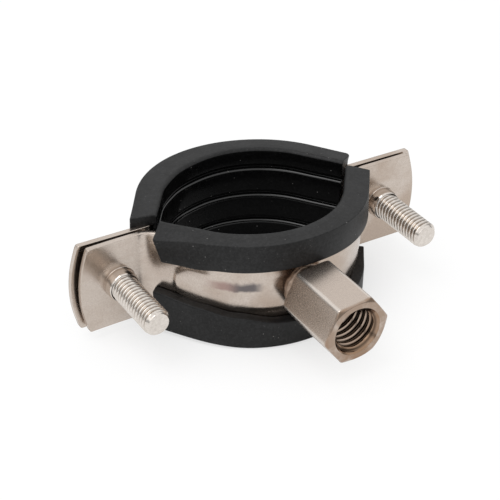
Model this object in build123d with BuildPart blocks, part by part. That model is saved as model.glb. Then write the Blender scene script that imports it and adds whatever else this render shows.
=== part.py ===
from build123d import *
import os
from math import cos, radians, sin, tan

# Rubber lined pipe clamp: two bent strip halves with flat ears, a rubber channel clipped
# round each half, a long hexagonal boss on the front half and two screws from the rear.
# Millimetres. The origin is on the bore's axis at mid width, +Z runs along the pipe,
# +X towards the right ears and -Y out of the boss. A half's apex is its point farthest
# from the ears: the front half's apex faces -Y (side -1), the rear half's +Y (side +1).

os.makedirs("parts", exist_ok=True)

# Strip
strip_width = 20.0
strip_thickness = 1.2
saddle_angle = 55.0  # degrees of round saddle on each side of the apex
saddle_offset = 3.7  # each saddle's centre lies this far past the bore's axis
front_bend_radius = 4.0  # on the hollow side of the bend from leg to ear
rear_bend_radius = 2.0
ear_gap = 0.7  # between the ears' facing sides, with the clamp done up
parting_offset = 1.0  # middle of the ear gap, behind the bore's axis
ear_corner_x = 39.7
ear_end_bulge = 1.7
ear_corner_radius = 0.5
rear_ear_extra = 1.1
bead_height = 0.25
bead_width = 8.4
bead_leg_length = 4.0

# Rubber channel
liner_height = 25.0
saddle_radius = 20.3
liner_wall = 2.0
liner_clearance = 0.1
flange_thickness = 2.3
flange_weld_clearance = 0.5  # between each flange's free edge and the boss's weld
face_slope_drop = 0.8
groove_pitch = 6.6
groove_width = 1.2
groove_depth = 1.0
groove_count = 3
groove_offset = 1.4  # middle of the grooves, above mid width
mouth_rounding = 0.9
liner_meeting_y = -0.25  # middle of the gap between the liners' inner end corners
liner_end_gap = 1.1
rear_right_setback = 1.3  # how much shorter the rear liner's right end is at its outer corner

# Screws, M6, and what they pass through
screw_x = 32.6
screw_radius = 2.95
thread_clearance = 0.05
ear_hole_clearance = 0.35
screw_length = 20.0
screw_tip_chamfer = 0.7
head_seat_clearance = 0.1
flange_radius = 6.2
screw_flange_thickness = 1.2
head_across_flats = 10.0
head_height = 3.0
recess_width = 1.6
recess_length = 6.4
recess_depth = 1.8
collar_radius = 3.5
collar_height = 2.5
collar_rim_radius = 0.45
collar_root_radius = 0.4

# Boss, M10 female, and its weld
boss_across_flats = 13.2
boss_length = 15.5
boss_roll = 6.5  # degrees that the hexagon is turned about its own axis
boss_thread_radius = 4.25
boss_thread_depth = 14.0
boss_mouth_radius = 5.3
boss_corner_radius = 7.05  # where the hexagon's corners are turned down at each end
boss_corner_slope = 30.0
boss_liner_clearance = 0.6
neck_radius = 4.3
weld_radius = 5.0
weld_height = 0.9
weld_clearance = 0.03

strip_inner_radius = saddle_radius + liner_wall + liner_clearance
strip_outer_radius = strip_inner_radius + strip_thickness
ridge_radius = strip_outer_radius + liner_clearance + flange_thickness
half_gap = ear_gap / 2
front_ear_face = parting_offset - half_gap - strip_thickness
rear_ear_face = parting_offset + half_gap + strip_thickness
bend_sin = sin(radians(saddle_angle))
bend_cos = cos(radians(saddle_angle))


def leg_length(side, ear_face, bend_radius):
    """Straight run from the saddle to the ear's bend, with the ear's open face at ear_face."""
    depth = strip_outer_radius * bend_cos - saddle_offset - side * ear_face
    return (depth - bend_radius * (1 - bend_cos)) / bend_sin


def leg_point(side, radius, y):
    """Point at this y on the straight leg that carries on from a saddle arc of this radius."""
    run = (radius * bend_cos - saddle_offset - side * y) / bend_sin
    return Vector(radius * bend_sin + run * bend_cos, y)


def strip_outline(side, ear_face, bend_radius, ear_end, margin=0.0):
    """Strip seen along Z: saddle, legs, bends and ears, grown by margin on both faces."""
    leg = leg_length(side, ear_face, bend_radius)
    outer = strip_outer_radius + margin
    inner = strip_inner_radius - margin
    hollow_bend = bend_radius - margin
    full_bend = bend_radius + strip_thickness + margin
    with BuildSketch() as outline:
        with BuildLine():
            faces = []
            for radius, face_bend in ((outer, hollow_bend), (inner, full_bend)):
                start = (0, side * (radius - saddle_offset))
                saddle = JernArc(start, (1, 0), radius, -side * saddle_angle)
                run = Line(saddle @ 1, saddle @ 1 + (saddle % 1) * leg)
                bend = JernArc(run @ 1, run % 1, face_bend, side * saddle_angle)
                ear = Line(bend @ 1, (ear_end, (bend @ 1).Y))
                faces.append((saddle @ 0, ear @ 1))
            Line(faces[0][1], faces[1][1])
            Line(faces[1][0], faces[0][0])
        make_face()
        mirror(about=Plane.YZ)
    return outline.sketch


def bead_outline(side):
    """Embossed bead on the strip's outside, seen along Z."""
    with BuildSketch() as outline:
        with BuildLine():
            ends = []
            for radius in (strip_outer_radius + bead_height, strip_outer_radius - bead_height):
                start = (0, side * (radius - saddle_offset))
                saddle = JernArc(start, (1, 0), radius, -side * saddle_angle)
                run = Line(saddle @ 1, saddle @ 1 + (saddle % 1) * bead_leg_length)
                ends.append((saddle @ 0, run @ 1))
            Line(ends[0][1], ends[1][1])
            Line(ends[1][0], ends[0][0])
        make_face()
        mirror(about=Plane.YZ)
    return outline.sketch


def ear_silhouette(corner_x):
    """Strip seen along Y: straight edges and shallow convex ear ends."""
    half_width = strip_width / 2
    with BuildSketch(Plane.XZ) as silhouette:
        with BuildLine():
            Line((0, half_width), (corner_x, half_width))
            tip = (corner_x + ear_end_bulge, 0)
            ThreePointArc((corner_x, half_width), tip, (corner_x, -half_width))
            Line((corner_x, -half_width), (0, -half_width))
            Line((0, -half_width), (0, half_width))
        make_face()
        mirror(about=Plane.YZ)
        outer = silhouette.vertices().group_by(Axis.X)
        fillet(outer[0] + outer[-1], ear_corner_radius)
    return silhouette.sketch


def liner_section(side):
    """Channel section without its strip slot: X is outwards, Y is up at the rear, down in front."""
    half_height = liner_height / 2
    depth = ridge_radius - saddle_radius
    window_depth = flange_thickness + liner_clearance
    window_height = 2 * (weld_radius + flange_weld_clearance)
    with BuildSketch() as section:
        with BuildLine():
            Polyline(
                (0, -half_height),
                (depth, -half_height + face_slope_drop),
                (depth, half_height - face_slope_drop),
                (0, half_height),
                close=True,
            )
        make_face()
        fillet(section.vertices().group_by(Axis.X)[0], mouth_rounding)
        with Locations((depth - window_depth, 0)):
            window_align = (Align.MIN, Align.CENTER)
            Rectangle(2 * window_depth, window_height, align=window_align, mode=Mode.SUBTRACT)
        with Locations((0, side * groove_offset)):
            with GridLocations(1, groove_pitch, 1, groove_count):
                Rectangle(2 * groove_depth, groove_width, mode=Mode.SUBTRACT)
    return section.sketch


def liner_path(side, end_y):
    """Line of the saddle face from the left end to the right, with the ends at end_y."""
    right_end = leg_point(side, saddle_radius, end_y)
    right_join = Vector(saddle_radius * bend_sin, side * (saddle_radius * bend_cos - saddle_offset))
    apex = (0, side * (saddle_radius - saddle_offset))
    with BuildLine() as path:
        Line((-right_end.X, right_end.Y), (-right_join.X, right_join.Y))
        ThreePointArc((-right_join.X, right_join.Y), apex, (right_join.X, right_join.Y))
        Line((right_join.X, right_join.Y), (right_end.X, right_end.Y))
    return path.line


def liner_start_plane(side, path):
    """Plane across the path's left end, X outwards."""
    outwards = (-bend_sin, side * bend_cos, 0)
    return Plane(origin=path @ 0, x_dir=outwards, z_dir=path % 0)


def liner_end_cutter(hand, inner_point, outer_point):
    """All on the parting side of the line through a rear liner end's corners, hand -1 is left."""
    along = (outer_point - inner_point).normalized()
    start = inner_point - along * saddle_radius / 2
    end = outer_point + along * saddle_radius
    drop = Vector(0, -2 * saddle_radius)
    corners = [Vector(hand * point.X, point.Y) for point in (start, end, end + drop, start + drop)]
    with BuildSketch() as cutter:
        with BuildLine():
            Polyline(*corners, close=True)
        make_face()
    return cutter.sketch


def facing_front(x, y):
    """Plane across the screw direction at this x and y, with its normal towards -Y."""
    return Plane(origin=(x, y, 0), x_dir=(1, 0, 0), z_dir=(0, -1, 0))


# Front band: saddle, two flat ears and an extruded, tapped collar in each ear
with BuildPart() as front_band:
    front_strip = strip_outline(-1, front_ear_face, front_bend_radius, 2 * ear_corner_x)
    extrude(front_strip, strip_width / 2, both=True)
    extrude(bead_outline(-1), bead_width / 2, both=True)
    extrude(ear_silhouette(ear_corner_x), ear_corner_x, both=True, mode=Mode.INTERSECT)
    with BuildSketch(facing_front(0, front_ear_face)):
        with Locations((-screw_x, 0), (screw_x, 0)):
            Circle(collar_radius)
    extrude(amount=collar_height)
    collar_edges = front_band.edges().filter_by(GeomType.CIRCLE)
    collar_edges = collar_edges.filter_by(lambda edge: abs(edge.radius - collar_radius) < 0.001)
    fillet(collar_edges.group_by(Axis.Y)[0], collar_rim_radius)
    root_edges = front_band.edges().filter_by(GeomType.CIRCLE)
    root_edges = root_edges.filter_by(lambda edge: abs(edge.radius - collar_radius) < 0.001)
    fillet(root_edges.group_by(Axis.Y)[-1], collar_root_radius)
    with BuildSketch(facing_front(0, front_ear_face)):
        with Locations((-screw_x, 0), (screw_x, 0)):
            Circle(screw_radius + thread_clearance)
    extrude(amount=2 * collar_height, both=True, mode=Mode.SUBTRACT)
front_band.part.label = "front_band"
export_step(front_band.part, "parts/front_band.step")

# Rear band: the same strip with longer ears and plain clearance holes
with BuildPart() as rear_band:
    rear_corner_x = ear_corner_x + rear_ear_extra
    rear_strip = strip_outline(1, rear_ear_face, rear_bend_radius, 2 * rear_corner_x)
    extrude(rear_strip, strip_width / 2, both=True)
    extrude(bead_outline(1), bead_width / 2, both=True)
    extrude(ear_silhouette(rear_corner_x), rear_corner_x, both=True, mode=Mode.INTERSECT)
    with BuildSketch(facing_front(0, rear_ear_face)):
        with Locations((-screw_x, 0), (screw_x, 0)):
            Circle(screw_radius + ear_hole_clearance)
    extrude(amount=2 * strip_thickness, both=True, mode=Mode.SUBTRACT)
rear_band.part.label = "rear_band"
export_step(rear_band.part, "parts/rear_band.step")

# Front liner: ends cut square to the legs
with BuildPart() as front_liner:
    front_path = liner_path(-1, liner_meeting_y - liner_end_gap / 2)
    with BuildSketch(liner_start_plane(-1, front_path)):
        add(liner_section(-1))
    sweep(path=front_path)
    slot_half_width = strip_width / 2 + liner_clearance
    front_slot = strip_outline(
        -1, front_ear_face, front_bend_radius, ear_corner_x, liner_clearance
    )
    extrude(front_slot, slot_half_width, both=True, mode=Mode.SUBTRACT)
front_liner.part.label = "front_liner"
export_step(front_liner.part, "parts/front_liner.step")

# Rear liner: ends run out to the rear ears
with BuildPart() as rear_liner:
    rear_inner_end = leg_point(1, saddle_radius, liner_meeting_y + liner_end_gap / 2)
    left_outer_end = leg_point(1, ridge_radius, rear_ear_face + liner_clearance)
    right_outer_end = leg_point(1, ridge_radius, left_outer_end.Y + rear_right_setback)
    rear_path = liner_path(1, rear_inner_end.Y - flange_thickness)
    with BuildSketch(liner_start_plane(1, rear_path)):
        add(liner_section(1))
    sweep(path=rear_path)
    left_cutter = liner_end_cutter(-1, rear_inner_end, left_outer_end)
    extrude(left_cutter, liner_height, both=True, mode=Mode.SUBTRACT)
    right_cutter = liner_end_cutter(1, rear_inner_end, right_outer_end)
    extrude(right_cutter, liner_height, both=True, mode=Mode.SUBTRACT)
    rear_slot = strip_outline(1, rear_ear_face, rear_bend_radius, rear_corner_x, liner_clearance)
    extrude(rear_slot, slot_half_width, both=True, mode=Mode.SUBTRACT)
rear_liner.part.label = "rear_liner"
export_step(rear_liner.part, "parts/rear_liner.step")

# Weld fillet between the strip's bead and the boss's neck
bead_radius = strip_outer_radius + bead_height
bead_apex_y = saddle_offset - bead_radius
boss_base_y = saddle_offset - ridge_radius - boss_liner_clearance
with BuildPart() as boss_weld:
    with BuildSketch(Plane.XY):
        with BuildLine():
            Polyline(
                (neck_radius + weld_clearance, bead_apex_y - weld_height),
                (weld_radius, bead_apex_y),
                (weld_radius, bead_apex_y + weld_radius),
                (neck_radius + weld_clearance, bead_apex_y + weld_radius),
                close=True,
            )
        make_face()
    revolve(axis=Axis.Y)
    with BuildSketch(Plane.XY):
        with Locations((0, saddle_offset)):
            Circle(bead_radius + weld_clearance)
    extrude(amount=strip_width, both=True, mode=Mode.SUBTRACT)
boss_weld.part.label = "boss_weld"
export_step(boss_weld.part, "parts/boss_weld.step")

# Threaded boss: hexagon bar, corners turned down at both ends, round neck, blind tapped hole
with BuildPart() as threaded_boss:
    with BuildSketch(facing_front(0, boss_base_y)):
        RegularPolygon(boss_across_flats / 2, 6, major_radius=False, rotation=boss_roll)
    extrude(amount=boss_length)
    corner_reach = boss_across_flats - boss_corner_radius
    corner_drop = corner_reach * tan(radians(boss_corner_slope))
    with BuildSketch(Plane(origin=(0, boss_base_y, 0), x_dir=(1, 0, 0), z_dir=(0, 0, 1))):
        with BuildLine():
            Polyline(
                (0, 0),
                (boss_corner_radius, 0),
                (boss_across_flats, -corner_drop),
                (boss_across_flats, corner_drop - boss_length),
                (boss_corner_radius, -boss_length),
                (0, -boss_length),
                close=True,
            )
        make_face()
    revolve(axis=Axis.Y, mode=Mode.INTERSECT)
    with BuildSketch(facing_front(0, boss_base_y)):
        Circle(neck_radius)
    extrude(amount=-strip_width / 2)
    with BuildSketch(Plane.XY):
        with Locations((0, saddle_offset)):
            Circle(bead_radius + weld_clearance)
    extrude(amount=strip_width, both=True, mode=Mode.SUBTRACT)
    with BuildSketch(Plane(origin=(0, boss_base_y, 0), x_dir=(1, 0, 0), z_dir=(0, 0, 1))):
        with BuildLine():
            Polyline(
                (0, -boss_length),
                (boss_mouth_radius, -boss_length),
                (boss_thread_radius, boss_mouth_radius - boss_thread_radius - boss_length),
                (boss_thread_radius, boss_thread_depth - boss_length),
                (0, boss_thread_depth - boss_length),
                close=True,
            )
        make_face()
    revolve(axis=Axis.Y, mode=Mode.SUBTRACT)
threaded_boss.part.label = "threaded_boss"
export_step(threaded_boss.part, "parts/threaded_boss.step")

# Screws: flanged hexagon heads with a cross recess, shanks through both ears
for screw_name, centre_x in (("left_screw", -screw_x), ("right_screw", screw_x)):
    seat_y = rear_ear_face + head_seat_clearance
    with BuildPart() as screw:
        with BuildSketch(facing_front(centre_x, seat_y)):
            Circle(screw_radius)
        extrude(amount=screw_length)
        chamfer(screw.edges().sort_by(Axis.Y)[0], screw_tip_chamfer)
        with BuildSketch(facing_front(centre_x, seat_y)):
            Circle(flange_radius)
        extrude(amount=-screw_flange_thickness)
        with BuildSketch(facing_front(centre_x, seat_y + screw_flange_thickness)):
            RegularPolygon(head_across_flats / 2, 6, major_radius=False)
        extrude(amount=-head_height)
        with BuildSketch(facing_front(centre_x, seat_y + screw_flange_thickness + head_height)):
            Rectangle(recess_length, recess_width)
            Rectangle(recess_width, recess_length)
        extrude(amount=recess_depth, mode=Mode.SUBTRACT)
    screw.part.label = screw_name
    export_step(screw.part, f"parts/{screw_name}.step")
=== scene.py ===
from math import ceil, cos, pi, radians, sin, tan

import bmesh
import bpy
import numpy as np
from bpy.props import FloatProperty, FloatVectorProperty, IntProperty, PointerProperty
from mathutils import Matrix, Vector


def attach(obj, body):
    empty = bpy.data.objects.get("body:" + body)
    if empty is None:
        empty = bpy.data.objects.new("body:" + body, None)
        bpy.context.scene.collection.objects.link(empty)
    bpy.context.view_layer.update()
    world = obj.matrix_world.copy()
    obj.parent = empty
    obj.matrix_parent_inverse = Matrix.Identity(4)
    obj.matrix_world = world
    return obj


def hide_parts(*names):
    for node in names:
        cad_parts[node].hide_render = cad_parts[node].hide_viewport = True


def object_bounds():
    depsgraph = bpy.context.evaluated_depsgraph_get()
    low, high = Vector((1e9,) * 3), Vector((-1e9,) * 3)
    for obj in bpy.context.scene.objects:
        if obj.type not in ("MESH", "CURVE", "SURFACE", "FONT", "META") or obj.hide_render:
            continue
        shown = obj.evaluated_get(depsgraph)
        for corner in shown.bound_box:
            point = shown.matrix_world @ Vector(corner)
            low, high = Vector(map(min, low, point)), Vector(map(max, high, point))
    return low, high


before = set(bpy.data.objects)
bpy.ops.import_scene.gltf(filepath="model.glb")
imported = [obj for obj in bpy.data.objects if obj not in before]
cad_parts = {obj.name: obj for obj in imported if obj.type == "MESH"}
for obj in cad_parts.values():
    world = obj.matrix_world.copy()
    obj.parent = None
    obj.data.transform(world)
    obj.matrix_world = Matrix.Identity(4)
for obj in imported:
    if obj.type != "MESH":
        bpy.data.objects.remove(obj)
CAD_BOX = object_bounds()

bl_info = {
    "name": "Rubber Lined Pipe Clamp",
    "version": (1, 0, 0),
    "blender": (4, 5, 0),
    "location": "View3D > Sidebar > Pipe Clamp",
    "description": "Dresses a two-screw pipe clamp with a rubber lining, and sets its stage",
    "category": "Add Mesh",
}


def length(name, description, default):
    """A size in metres."""
    return FloatProperty(name=name, description=description, default=default, unit="LENGTH")


def angle(name, description, degrees):
    """An angle, given in degrees."""
    return FloatProperty(name=name, description=description, default=radians(degrees), unit="ROTATION")


def colour(name, description, default):
    """A linear colour."""
    return FloatVectorProperty(
        name=name, description=description, default=default, subtype="COLOR", size=3, min=0.0, max=1.0
    )


def factor(name, description, default):
    """A share from 0 to 1."""
    return FloatProperty(name=name, description=description, default=default, min=0.0, max=1.0)


def amount(name, description, default, unit="NONE"):
    """A plain number, or one with a unit."""
    return FloatProperty(name=name, description=description, default=default, unit=unit)


def position(name, description, default):
    """A point, in metres."""
    return FloatVectorProperty(
        name=name, description=description, default=default, subtype="TRANSLATION", size=3
    )


class ClampBandSizes(bpy.types.PropertyGroup):
    """Sizes of the two bent strips."""

    strip_width: length("Strip width", "Along the pipe", 0.0200)
    strip_thickness: length("Strip thickness", "Sheet gauge", 0.0012)
    edge_rounding: length("Edge rounding", "Worn edge of the sheared sheet", 0.00014)
    saddle_angle: angle("Saddle angle", "Round saddle on each side of the apex", 55.0)
    saddle_offset: length("Saddle offset", "How far each saddle's centre lies past the axis", 0.0037)
    outer_radius: length("Outer radius", "Outside of the saddle", 0.0236)
    front_bend_radius: length("Front bend radius", "On the hollow side, from leg to ear", 0.0040)
    rear_bend_radius: length("Rear bend radius", "On the hollow side, from leg to ear", 0.0020)
    front_ear_y: length("Front ear face", "Y of the front ear's open face", -0.00055)
    rear_ear_y: length("Rear ear face", "Y of the rear ear's open face", 0.00255)
    ear_corner_x: length("Ear corner", "X of the front ears' corners", 0.0397)
    rear_ear_extra: length("Rear ear extra", "How much longer the rear ears are", 0.0011)
    ear_end_bulge: length("Ear end bulge", "Rise of the curved ear end", 0.0017)
    ear_corner_radius: length("Ear corner radius", "Rounded corner of an ear", 0.0005)
    left_ear_bow: length("Left ear bow", "How far the front left ear's end leans forwards", 0.00030)
    right_ear_bow: length("Right ear bow", "How far the front right ear's end leans back", 0.00007)
    right_leg_belly: length("Right leg belly", "Outward swell of the front strip's right leg", 0.0010)
    bead_height: length("Bead height", "Embossed bead above the strip", 0.00034)
    bead_half_width: length("Bead half width", "Middle of the bead's shoulder", 0.0042)
    bead_shoulder: length("Bead shoulder", "Width of the bead's sloping side", 0.0013)
    bead_leg_length: length("Bead leg length", "How far the bead runs along each leg", 0.0056)
    bead_barrel: factor("Bead barrel", "How much lower the bead's top is at its shoulders", 0.55)
    hole_radius: length("Rear hole radius", "Clearance hole in a rear ear", 0.0033)
    bore_radius: length("Collar bore radius", "Bore of a front collar", 0.0030)
    collar_radius: length("Collar radius", "Extruded collar in a front ear", 0.00345)
    collar_height: length("Collar height", "Collar above the ear", 0.0025)
    collar_dome: length("Collar dome", "Height over which the collar's rim is rounded", 0.0013)
    collar_root: length("Collar root", "Fillet between collar and ear", 0.0002)


class ClampLinerSizes(bpy.types.PropertyGroup):
    """Sizes of the rubber channels."""

    height: length("Height", "Along the pipe", 0.0250)
    saddle_radius: length("Saddle radius", "Face that grips the pipe", 0.0203)
    wall: length("Wall", "Rubber between pipe and strip", 0.0020)
    slot: length("Slot", "Room for the strip", 0.0014)
    slot_height: length("Slot height", "Room for the strip's width", 0.0202)
    flange: length("Flange thickness", "Rubber outside the strip", 0.0023)
    window: length("Window", "Between the flanges' free edges", 0.0110)
    face_drop: length("Face drop", "How much lower the end face is at its ridge", 0.0008)
    mouth_rounding: length("Mouth rounding", "Rounded inner edge", 0.0009)
    ridge_rounding: length("Ridge rounding", "Crisp outer ridge", 0.00022)
    groove_pitch: length("Groove pitch", "Between inner grooves", 0.0066)
    groove_offset: length("Groove offset", "Middle groove above mid width", 0.0014)
    groove_width: length("Groove width", "Width of an inner groove", 0.0012)
    groove_depth: length("Groove depth", "Depth of an inner groove", 0.0010)
    groove_lip: length("Groove lip", "Rounding of each groove's lower edge", 0.0006)
    front_end_run: length("Front end run", "Straight run of the front liner past its saddle", 0.00872)
    front_left_slant: length("Front left slant", "How much longer its left end is at the pipe face", 0.0009)
    front_right_slant: length("Front right slant", "The same at its right end", 0.0004)
    upper_cutback: length("Upper cutback", "How much shorter its upper left flange is", 0.0014)
    lower_overhang: length("Lower overhang", "How much longer its lower left flange is", 0.0006)
    rear_inner_run: length("Rear inner run", "Straight run of the rear liner at the pipe face", 0.00933)
    rear_left_run: length("Rear left run", "The same at the left ridge", 0.01045)
    rear_right_run: length("Rear right run", "The same at the right ridge", 0.00930)
    end_rounding: length("End rounding", "Rounded edge of a cut end", 0.00020)
    rear_end_rounding: length("Rear end rounding", "Rounded corner of the rear right end", 0.0013)


class ClampBossSizes(bpy.types.PropertyGroup):
    """Sizes of the threaded boss and its weld."""

    across_flats: length("Across flats", "Hexagon bar", 0.0132)
    length: length("Length", "Hexagon bar", 0.0155)
    base_y: length("Base", "Y of the hexagon's inner end", -0.0229)
    roll: angle("Roll", "Turn of the hexagon about its axis", 6.5)
    base_corner_radius: length("Base corner radius", "Where the corners are turned down", 0.00705)
    mouth_corner_radius: length("Mouth corner radius", "The same round the mouth", 0.0065)
    edge_wear: length("Edge wear", "Softened long edges of the bar", 0.0005)
    corner_slope: angle("Corner slope", "Slope of the turned corners", 30.0)
    mouth_radius: length("Mouth radius", "Countersink at the end face", 0.0053)
    crest_radius: length("Crest radius", "Inside of the M10 thread", 0.00425)
    root_radius: length("Root radius", "Bottom of the M10 thread", 0.00497)
    pitch: length("Pitch", "M10 coarse", 0.0015)
    thread_depth: length("Thread depth", "Blind tapped hole", 0.0140)
    neck_radius: length("Neck radius", "Round neck between the flanges", 0.0043)
    neck_end_y: length("Neck end", "Y of the neck's end, inside the strip", -0.0195)
    weld_radius: length("Weld radius", "Foot of the weld", 0.0050)
    weld_height: length("Weld height", "Weld above the strip", 0.0009)
    neck_fillet: length("Neck fillet", "Between the neck and the hexagon", 0.00025)
    mouth_edge: length("Mouth edge", "Rounded edge of the countersink", 0.00012)


class ClampScrewSizes(bpy.types.PropertyGroup):
    """Sizes of the two M6 screws."""

    offset_x: length("Offset", "Screw axes to each side of the pipe", 0.0326)
    seat_y: length("Seat", "Y of the head's seat", 0.00265)
    length: length("Length", "Under the head", 0.0200)
    crest_radius: length("Crest radius", "Outside of the thread", 0.00295)
    root_radius: length("Root radius", "Bottom of the thread", 0.00242)
    pitch: length("Pitch", "M6 coarse", 0.0010)
    tip_radius: length("Tip radius", "Flat end of the screw", 0.00225)
    flange_radius: length("Flange radius", "Flange under the head", 0.0062)
    flange_thickness: length("Flange thickness", "Flange under the head", 0.0012)
    across_flats: length("Across flats", "Head", 0.0100)
    head_height: length("Head height", "Above the flange", 0.0030)
    edge_wear: length("Edge wear", "Softened edges of the head", 0.00022)
    flange_edge: length("Flange edge", "Bevelled edge of the flange", 0.0001)
    recess_length: length("Recess length", "Cross recess", 0.0064)
    recess_width: length("Recess width", "Cross recess", 0.0016)
    recess_depth: length("Recess depth", "Cross recess", 0.0018)
    segments: IntProperty(name="Segments", description="Facets round a thread", default=60, min=12)
    flank_points: IntProperty(name="Flank points", description="Rows in one pitch", default=10, min=6)


class ClampFinishes(bpy.types.PropertyGroup):
    """Colours of steel and rubber."""

    strip_steel: colour("Strip steel", "Satin strip", (0.60, 0.528, 0.470))
    strip_warm: colour("Strip warm", "Warm blotches on the strip", (0.47, 0.385, 0.32))
    # Painted reflection: a dark reflection painted on the band beside the boss, reddish at its outer end,
    # slate at its inner end
    painted_reflection_red: colour("Smear red", "Heat smear beside the boss, outer end", (0.34, 0.235, 0.21))
    painted_reflection_slate: colour("Smear slate", "Heat smear beside the boss, inner end", (0.115, 0.105, 0.11))
    boss_steel: colour("Boss steel", "Turned bar", (0.55, 0.47, 0.41))
    # Also used as painted shade by the boss's base
    boss_tint: colour("Boss tint", "Heat tint near the weld and the mouth", (0.34, 0.25, 0.19))
    mouth_brown: colour("Mouth brown", "Countersink and first turn", (0.28, 0.17, 0.10))
    # Painted shade: the dark of the boss's thread roots and of the ring in each collar's bore
    thread_shade: colour("Thread shade", "Oil and scale in the boss's thread roots", (0.030, 0.019, 0.012))
    screw_steel: colour("Screw steel", "Bright screws", (0.73, 0.68, 0.63))
    # Painted shade in the screws' thread roots; it also darkens their random mottle
    screw_root: colour("Screw root", "Oil and shade in the thread roots", (0.22, 0.165, 0.12))
    weld_steel: colour("Weld steel", "Weld", (0.40, 0.31, 0.25))
    rubber: colour("Rubber", "Black rubber", (0.0036, 0.0036, 0.0037))
    rubber_bloom: colour("Rubber bloom", "Pale bloom on the rubber", (0.015, 0.015, 0.0155))
    dust: colour("Dust", "Specks on the rubber", (0.26, 0.25, 0.24))
    strip_roughness: factor("Strip roughness", "Satin strip", 0.22)
    screw_roughness: factor("Screw roughness", "Bright screws", 0.13)
    boss_roughness: factor("Boss roughness", "Turned bar", 0.26)
    rubber_roughness: factor("Rubber roughness", "Rubber", 0.46)
    grip_roughness: factor("Grip roughness", "Smooth face that grips the pipe", 0.18)
    rubber_sheen: factor("Rubber sheen", "Specular level of the rubber", 0.29)
    grip_sheen: factor("Grip sheen", "Specular level of the face that grips the pipe", 0.05)


class ClampStageSettings(bpy.types.PropertyGroup):
    """Floor, lamps and camera."""

    floor_size: length("Floor size", "Side of the floor", 4.0)
    floor_colour: colour("Floor colour", "White floor", (0.96, 0.96, 0.96))
    floor_glow: factor("Floor glow", "Share of plain white that the camera sees in the floor", 0.86)
    floor_shade_glow: factor("Floor shade glow", "The same beside the clamp, where the shadow lies", 0.62)
    floor_gloss_glow: factor("Floor gloss glow", "The same for what reflections see", 0.80)
    shade_start: length("Shade start", "Distance from the pipe's middle where the shaded floor ends", 0.024)
    gloss_end: length("Gloss end", "The same, from where reflections see a clear floor", 0.036)
    shade_end: length("Shade end", "The same, from where the camera sees a clear floor", 0.048)
    sky_strength: amount("Sky strength", "Light from overhead", 1.05)
    horizon_strength: amount("Horizon strength", "Light from the sides", 0.40)
    sky_start: amount("Sky start", "Lift of a direction where the light from overhead begins", 0.08)
    sky_full: amount("Sky full", "Lift of a direction where it is full", 0.48)
    key_power: amount("Key power", "Large soft lamp", 1.3, "POWER")
    key_size: length("Key size", "Side of the large lamp", 0.45)
    key_place: position("Key place", "Middle of the large lamp", (-0.30, 0.02, 0.62))
    fill_power: amount("Fill power", "Small soft lamp", 0.15, "POWER")
    fill_size: length("Fill size", "Side of the small lamp", 0.35)
    fill_place: position("Fill place", "Middle of the small lamp", (-0.42, -0.40, 0.30))
    focal_length: amount("Focal length", "Camera lens, millimetres", 106.516)
    shift_right: amount("Shift right", "Camera shift, as a share of the frame", 0.04476)
    shift_up: amount("Shift up", "Camera shift, as a share of the frame", -0.07402)
    camera_place: position("Camera place", "Where the camera stands", (-0.143354, -0.223813, 0.170598))
    azimuth: angle("Azimuth", "Turn of the view about the upright axis, 0 from the front", -31.3817)
    elevation: angle("Elevation", "How steeply the camera looks down", 31.7323)
    camera_roll: angle("Camera roll", "Turn about the line of sight", 1.2093)


# Meshes


# Points nearer to each other than this, in metres, become one
MERGE_DISTANCE = 0.0000015


def new_object(name, mesh):
    """Object with this mesh, at the origin."""
    made = bpy.data.objects.new(name, mesh)
    bpy.context.scene.collection.objects.link(made)
    return made


def mesh_from(name, points, faces, slots=None):
    """Closed mesh, doubles merged, faces outwards. slots gives the material index of each face."""
    mesh = bpy.data.meshes.new(name)
    mesh.from_pydata([tuple(map(float, point)) for point in points], [], faces)
    if slots:
        mesh.polygons.foreach_set("material_index", slots)
    return cleaned(mesh)


def cleaned(mesh, merge=MERGE_DISTANCE):
    """The mesh without doubles, its holes closed and its faces pointing outwards."""
    form = bmesh.new()
    form.from_mesh(mesh)
    bmesh.ops.remove_doubles(form, verts=form.verts, dist=merge)
    bmesh.ops.dissolve_degenerate(form, edges=form.edges, dist=merge / 3)
    bmesh.ops.holes_fill(form, edges=[edge for edge in form.edges if edge.is_boundary], sides=0)
    bmesh.ops.recalc_face_normals(form, faces=form.faces)
    form.to_mesh(mesh)
    form.free()
    return mesh


def loft(rings):
    """Points and quads that join closed rings of the same count, open at both ends."""
    count = len(rings[0])
    points = [point for ring in rings for point in ring]
    faces = []
    for row in range(len(rings) - 1):
        for column in range(count):
            after = (column + 1) % count
            low, high = row * count, (row + 1) * count
            faces.append((low + column, low + after, high + after, high + column))
    return points, faces


def applied(made):
    """The object's mesh with its modifiers applied. The object keeps no modifier."""
    evaluated = made.evaluated_get(bpy.context.evaluated_depsgraph_get())
    mesh = bpy.data.meshes.new_from_object(evaluated)
    made.modifiers.clear()
    return mesh


def finished(made, sharp=38.0):
    """A plain mesh with its modifiers applied, smooth between edges sharper than this, in degrees."""
    mesh = applied(made)
    made.data = mesh
    mesh.shade_smooth()
    mesh.set_sharp_from_angle(angle=radians(sharp))
    return made


def joined(name, parts):
    """One object from several meshes."""
    form = bmesh.new()
    for part in parts:
        form.from_mesh(part)
    mesh = bpy.data.meshes.new(name)
    form.to_mesh(mesh)
    form.free()
    return new_object(name, mesh)


def weight_normals(made):
    """Flat faces shade flat right up to their rounded edges."""
    modifier = made.modifiers.new("weighted", "WEIGHTED_NORMAL")
    modifier.keep_sharp = True
    made.data = applied(made)
    return made


def cut(made, cutters):
    """Takes the cutters' meshes out of the object, exactly."""
    helpers = [new_object("cutter", cutter) for cutter in cutters]
    for helper in helpers:
        modifier = made.modifiers.new("cut", "BOOLEAN")
        modifier.operation = "DIFFERENCE"
        modifier.solver = "EXACT"
        modifier.object = helper
    finished(made)
    for helper in helpers:
        bpy.data.objects.remove(helper)
    return made


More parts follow.
